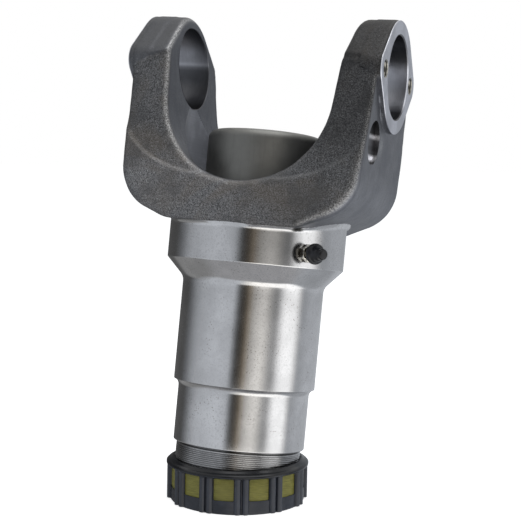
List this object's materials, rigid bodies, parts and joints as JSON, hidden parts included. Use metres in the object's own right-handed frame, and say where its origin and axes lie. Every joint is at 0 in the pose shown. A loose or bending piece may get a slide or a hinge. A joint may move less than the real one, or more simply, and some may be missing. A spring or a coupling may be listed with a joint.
{
  "type": "forged slip yoke",
  "caption": "Forged drive-shaft slip yoke: bored ears on a fork, a splined sleeve below with a grease nipple, and a windowed cap with its seal on the thread.",
  "frame": {"origin": "centre of the thread cap's foot, on the sleeve's axis", "axes": "+Z along the sleeve's axis towards the ears; X parallel to the cross bore; the front is -Y and the nipple stands between -Y and +X"},
  "size_m": [0.1548, 0.1084, 0.2919],
  "materials": {
    "forged_steel": "dark forged skin on the fork, turned satin on the sleeve and ear faces",
    "drawn_steel": "smooth dark drawn sheet",
    "plated_steel": "bright plated",
    "ball_steel": "polished",
    "soft_black_plastic": "soft black moulding",
    "black_plastic": "semi-gloss blue-black moulding",
    "olive_rubber": "satin olive seal"
  },
  "bodies": {
    "root": {"forged_yoke": "forged_steel", "core_plug": "drawn_steel", "grease_nipple": "plated_steel", "nipple_ball": "ball_steel", "nipple_spring": "plated_steel", "nipple_cap": "soft_black_plastic", "thread_cap": "black_plastic", "seal_ring": "olive_rubber"}
  },
  "joints": []
}
